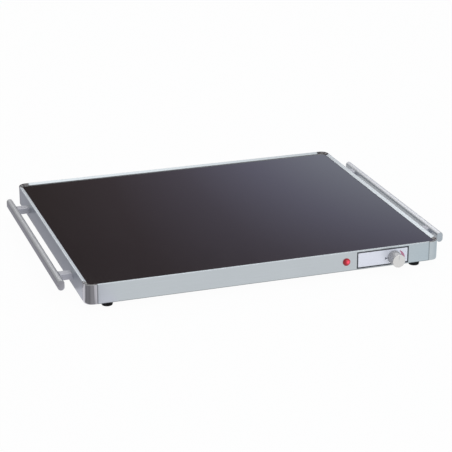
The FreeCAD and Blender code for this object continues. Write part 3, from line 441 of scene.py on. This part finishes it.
def dress_frame():
    # The last two numbers are painted light and shade on each rail's sides and top; the left rail's brighter
    # colour is painted light too.
    for node, axis, colour, side, top in (
        ("front_rail", "X", ALUMINIUM, 1.0, 0.72),
        ("rear_rail", "X", ALUMINIUM, 1.0, 0.95),
        ("left_rail", "Y", tone(ALUMINIUM, 1.12), 0.89, 1.0),
        ("right_rail", "Y", ALUMINIUM, 1.0, 0.94),
    ):
        dress(brushed_metal(f"{node}_metal", colour, axis, shade=rail_painted_shade(node, axis, side, top)), node)
    ends = [(end, side) for side in ("left", "right") for end in ("front", "rear")]
    corners = [f"{end}_{side}_corner" for end, side in ends]
    dress(polished_metal("corner_polish", (0.60, 0.61, 0.62)), *corners)
    # Lit and shaded copies of one bar metal: painted shade on the left bar's shoulders, the right bar painted
    # lighter.
    dress(brushed_metal("left_bar_shaded_metal", BAR_ALUMINIUM, "Y", (0.32, 0.42), shade=bar_painted_shade), "left_grip_bar")
    dress(brushed_metal("right_bar_lit_metal", tone(BAR_ALUMINIUM, 1.12), "Y", (0.32, 0.42)), "right_grip_bar")
    posts = [f"{side}_{end}_post" for end, side in ends]
    cast = brushed_metal("post_metal", (0.60, 0.60, 0.65), "X", (0.38, 0.48), metallic=0.4, shade=post_painted_shade)
    dress(cast, *posts)
    feet = [f"{end}_{side}_foot" for end, side in ends]
    black = (0.008, 0.008, 0.009)
    rubber = moulded("foot_rubber", black, (0.6, 0.75), grain=900.0, depth=0.05 * MM, Specular_IOR_Level=0.12)
    dress(rubber, *feet)
    dress(dark_glass("dark_glass"), "glass_plate")
    dress(moulded("silicone", (0.30, 0.30, 0.31), (0.5, 0.6)), "glass_gasket")


def dress_controls():
    dress(moulded("bezel_plastic", (0.018, 0.022, 0.030), (0.35, 0.5)), "panel_bezel")
    dress(printed_plate("scale_plate_print"), "scale_plate")
    dress(red_lens("lamp_lens_red"), "lamp_lens")
    dress(ink("pointer_ink", (0.62, 0.61, 0.60)), "knob_pointer")
    turned = brushed_metal("knob_metal", (0.72, 0.71, 0.70), "Y", (0.52, 0.62), shade=knob_painted_shade)
    dress(turned, "control_knob")


def dress_inside():
    dress(plain_metal("plated_steel", (0.62, 0.62, 0.63)), "base_plate", "reflector_pan", "pan_supports")
    dress(
        plain_metal("screw_steel", (0.55, 0.55, 0.56), (0.2, 0.35)),
        "corner_screws",
        "base_screws",
        "foot_screws",
        "foot_nuts",
        "handle_screws",
        "thermostat_washer",
        "inlet_screws",
        "inlet_nuts",
        "lamp_clip",
        "earth_stud",
        "earth_nut",
        "thermostat_spindle",
    )
    dress(
        plain_metal("contact_brass", (0.72, 0.56, 0.28), (0.2, 0.35)),
        "thermostat_nut",
        "thermostat_terminals",
        "inlet_pins",
        "earth_terminal",
    )
    dress(plain_metal("copper", (0.78, 0.42, 0.28)), "sensor_bulb", "capillary_tube")
    dress(plain_metal("mill_aluminium", (0.75, 0.75, 0.76)), "heat_spreader")
    dress(moulded("inlet_plastic", (0.025, 0.025, 0.027)), "inlet_housing", "lamp_holder")
    dress(moulded("ceramic_body", (0.78, 0.76, 0.70), (0.5, 0.65)), "thermostat_body")
    dress(moulded("cable_sheath", (0.62, 0.56, 0.46)), "heating_cable")
    felt = moulded("fibre_felt", (0.72, 0.68, 0.58), (0.85, 0.95), grain=500.0, depth=0.3 * MM)
    dress(felt, "insulation_mat")
    dress(moulded("white_sheath", (0.7, 0.7, 0.68)), "heater_wire", "lamp_wires", "wire_connectors")
    dress(moulded("brown_sheath", (0.12, 0.05, 0.03)), "live_wire")
    dress(moulded("blue_sheath", (0.03, 0.08, 0.35)), "neutral_wire")
    dress(moulded("earth_sheath", (0.18, 0.42, 0.04)), "earth_wire")
    dress(moulded("glow_lamp", (0.8, 0.45, 0.3), (0.1, 0.2)), "neon_tube")


# The print of the scale plate
def print_sheet(name, outline, y, material):
    """A film of ink of the given outline, as pairs of X and Z, that faces the front."""
    build = bmesh.new()
    face = build.faces.new([build.verts.new((x, y, z)) for x, z in outline])
    face.normal_update()
    if face.normal.y > 0:
        face.normal_flip()
    mesh = bpy.data.meshes.new(name)
    build.to_mesh(mesh)
    build.free()
    mesh.materials.append(material)
    piece = bpy.data.objects.new(name, mesh)
    bpy.context.scene.collection.objects.link(piece)
    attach(piece, "tray")


def between(ends, share):
    return ends[0] + (ends[1] - ends[0]) * share


def print_scale():
    plate_low, plate_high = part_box("scale_plate")
    knob_low, knob_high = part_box("control_knob")
    centre_x = (knob_low[0] + knob_high[0]) / 2
    centre_z = (knob_low[2] + knob_high[2]) / 2
    y = plate_low[1] - INK_STANDOFF
    inner = []
    outer = []
    for k in range(WEDGE_STEPS + 1):
        share = k / WEDGE_STEPS
        angle = between(WEDGE_ANGLES, share)
        for radii, edge in ((WEDGE_INNER_RADII, inner), (WEDGE_OUTER_RADII, outer)):
            radius = between(radii, share)
            x = min(centre_x + radius * math.sin(angle), plate_high[0] - WEDGE_SIDE_MARGIN)
            z = min(centre_z + radius * math.cos(angle), plate_high[2] - WEDGE_TOP_MARGIN)
            edge.append((x, z))
    print_sheet("scale_wedge", outer + inner[::-1], y, ink("wedge_red", (0.62, 0.23, 0.35)))
    tick = [(centre_x + x, centre_z + z) for x, z in TICK_FROM_KNOB]
    print_sheet("scale_tick", tick, y, ink("tick_grey", (0.20, 0.21, 0.25)))


# Studio
def stage_sheet(name, corners):
    """A flat four-cornered sheet of the studio, and its empty node tree and output."""
    mesh = bpy.data.meshes.new(name)
    mesh.from_pydata(corners, [], [(0, 1, 2, 3)])
    sheet = bpy.data.objects.new(name, mesh)
    bpy.context.scene.collection.objects.link(sheet)
    material = bpy.data.materials.new(name)
    material.use_nodes = True
    tree = material.node_tree
    tree.nodes.clear()
    output = tree.nodes.new("ShaderNodeOutputMaterial")
    mesh.materials.append(material)
    return sheet, tree, output.inputs["Surface"]


def level_corners(x_ends, y_ends, z):
    (x0, x1), (y0, y1) = x_ends, y_ends
    return [(x0, y0, z), (x1, y0, z), (x1, y1, z), (x0, y1, z)]


def emission_card(name, corners, paint):
    """A studio card seen only in reflections; paint gives its tone."""
    card, tree, surface = stage_sheet(name, corners)
    card.visible_camera = False
    card.visible_diffuse = False
    card.visible_shadow = False
    card.visible_transmission = False
    glow = tree.nodes.new("ShaderNodeEmission")
    paint(tree, glow.inputs["Color"])
    tree.links.new(glow.outputs["Emission"], surface)


def even(colour):
    def paint(tree, target):
        target.default_value = (*colour, 1.0)

    return paint


def paint_back(tree, target):
    """The tone of the back card: brown and dark at the left, pale blue low at the right."""
    x = own_axis(tree, "Object", "X")
    z = own_axis(tree, "Object", "Z")
    sine = math.sin(BACK_LEAN)
    lean = maths(tree, "MULTIPLY_ADD", x, -sine * BACK_FAN, -sine * (1 - BACK_FAN * BACK_PIVOT))
    across = maths(tree, "MULTIPLY_ADD", x, math.cos(BACK_LEAN), maths(tree, "MULTIPLY", z, lean))
    stops = (
        (0.0, (0.13, 0.10, 0.10)),
        (0.25, (0.19, 0.15, 0.17)),
        (0.5, (0.31, 0.275, 0.355)),
        (0.75, (0.52, 0.51, 0.69)),
        (1.0, (0.78, 0.82, 1.0)),
    )
    tree.links.new(colour_ramp(tree, spread(tree, across, *BACK_RANGE), stops), target)


def corner_card(name, corner, stops):
    """A card on the floor round one corner, toned by the bearing from the corner's axis.

    Within the core radius every bearing is turned past the last stop, so the core has that stop's tone.
    """
    corner_x, corner_y = corner
    side = 1 if corner_x > 0 else -1
    first, last = CORNER_BEARINGS

    def paint(tree, target):
        out = maths(tree, "MULTIPLY_ADD", own_axis(tree, "Object", "X"), side, -side * corner_x)
        south = maths(tree, "SUBTRACT", corner_y, own_axis(tree, "Object", "Y"))
        bearing = maths(tree, "ARCTAN2", south, out)
        in_core = maths(tree, "LESS_THAN", distance(tree, out, south), CORNER_CORE_RADIUS)
        turned = maths(tree, "MULTIPLY_ADD", in_core, last - first, bearing)
        tree.links.new(colour_ramp(tree, spread(tree, turned, first, last), stops), target)

    x_ends = sorted((corner_x - side * CORNER_CARD_INWARD, corner_x + side * CORNER_CARD_OUTWARD))
    y_ends = (corner_y - CORNER_CARD_OUTWARD, corner_y + CORNER_CARD_BACK)
    emission_card(name, level_corners(x_ends, y_ends, CARD_LIFT), paint)


def make_corner_cards():
    left_x, left_y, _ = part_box("front_left_corner")[0]
    axis_y = left_y + CORNER_AXIS_INSET
    streaks = (
        (0.35, 0.76),
        (0.41, 0.21),
        (0.57, 0.27),
        (0.67, 0.22),
        (0.80, 0.36),
        (0.93, 0.34),
        (0.98, 0.97),
    )
    left_stops = [(place, (light, light * 0.97, light * 1.04)) for place, light in streaks]
    corner_card("left_corner_card", (left_x + CORNER_AXIS_INSET, axis_y), left_stops)
    right_stops = (
        (0.0, (0.44, 0.54, 0.60)),
        (0.2, (0.50, 0.60, 0.66)),
        (0.45, (0.66, 0.74, 0.79)),
        (0.765, (0.78, 0.86, 0.90)),
        (1.0, (0.86, 0.92, 0.95)),
    )
    right_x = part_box("front_right_corner")[1][0]
    corner_card("right_corner_card", (right_x - CORNER_AXIS_INSET, axis_y), right_stops)


def make_left_flag():
    left_x, left_y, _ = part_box("front_left_corner")[0]
    front = left_y + CORNER_AXIS_INSET + CORNER_CARD_BACK
    corners = level_corners((FLAG_LEFT, left_x - FLAG_GAP), (front, FLAG_BACK), CARD_LIFT)
    emission_card("left_flag", corners, even((0.42, 0.41, 0.45)))


def make_back_card():
    (left, right), (bottom, top) = BACK_CARD_X, BACK_CARD_Z
    outline = ((left, bottom), (right, bottom), (right, top), (left, top))
    emission_card("back_card", [(x, BACK_CARD_Y, z) for x, z in outline], paint_back)


def make_floor():
    ends = (-FLOOR_REACH, FLOOR_REACH)
    floor, tree, surface = stage_sheet("floor", level_corners(ends, ends, 0))
    matt = tree.nodes.new("ShaderNodeBsdfDiffuse")
    matt.inputs["Color"].default_value = (0.86, 0.86, 0.87, 1.0)
    white = tree.nodes.new("ShaderNodeEmission")
    white.inputs["Strength"].default_value = 1.0
    mix = tree.nodes.new("ShaderNodeMixShader")
    tree.links.new(maths(tree, "MULTIPLY", seen_or_mirrored(tree), FLOOR_WHITE), mix.inputs[0])
    tree.links.new(matt.outputs["BSDF"], mix.inputs[1])
    tree.links.new(white.outputs["Emission"], mix.inputs[2])
    tree.links.new(mix.outputs["Shader"], surface)


def make_world():
    world = bpy.data.worlds.new("studio")
    bpy.context.scene.world = world
    world.use_nodes = True
    tree = world.node_tree
    tree.nodes.clear()
    output = tree.nodes.new("ShaderNodeOutputWorld")
    fill = tree.nodes.new("ShaderNodeBackground")
    fill.inputs["Color"].default_value = (0.93, 0.96, 1.0, 1.0)
    fill.inputs["Strength"].default_value = 0.55
    white = tree.nodes.new("ShaderNodeBackground")
    white.inputs["Strength"].default_value = 1.0
    mix = tree.nodes.new("ShaderNodeMixShader")
    tree.links.new(seen_or_mirrored(tree), mix.inputs[0])
    tree.links.new(fill.outputs["Background"], mix.inputs[1])
    tree.links.new(white.outputs["Background"], mix.inputs[2])
    tree.links.new(mix.outputs["Shader"], output.inputs["Surface"])


def area_light(name, place, size, power, tint=(1.0, 1.0, 1.0)):
    """A rectangular lamp that points at the tray."""
    data = bpy.data.lights.new(name, "AREA")
    data.shape = "RECTANGLE"
    data.size, data.size_y = size
    data.energy = power
    data.color = tint
    light = bpy.data.objects.new(name, data)
    light.location = place
    light.rotation_euler = (-Vector(place)).to_track_quat("-Z", "Y").to_euler()
    bpy.context.scene.collection.objects.link(light)


def make_lamps():
    area_light("overhead", place=(0.2, 0.1, 2.2), size=(2.2, 1.8), power=12.0)
    area_light("back_top", place=(0.5, 2.3, 1.75), size=(3.0, 0.9), power=11.0)
    area_light("front_fill", place=(0.7, -2.6, 1.5), size=(1.8, 1.2), power=14.0, tint=(0.95, 0.98, 1.0))


make_camera()
dress_frame()
dress_controls()
dress_inside()
print_scale()
make_floor()
make_world()
make_lamps()
make_back_card()
make_left_flag()
make_corner_cards()

view = bpy.context.scene.view_settings
view.view_transform = "Standard"
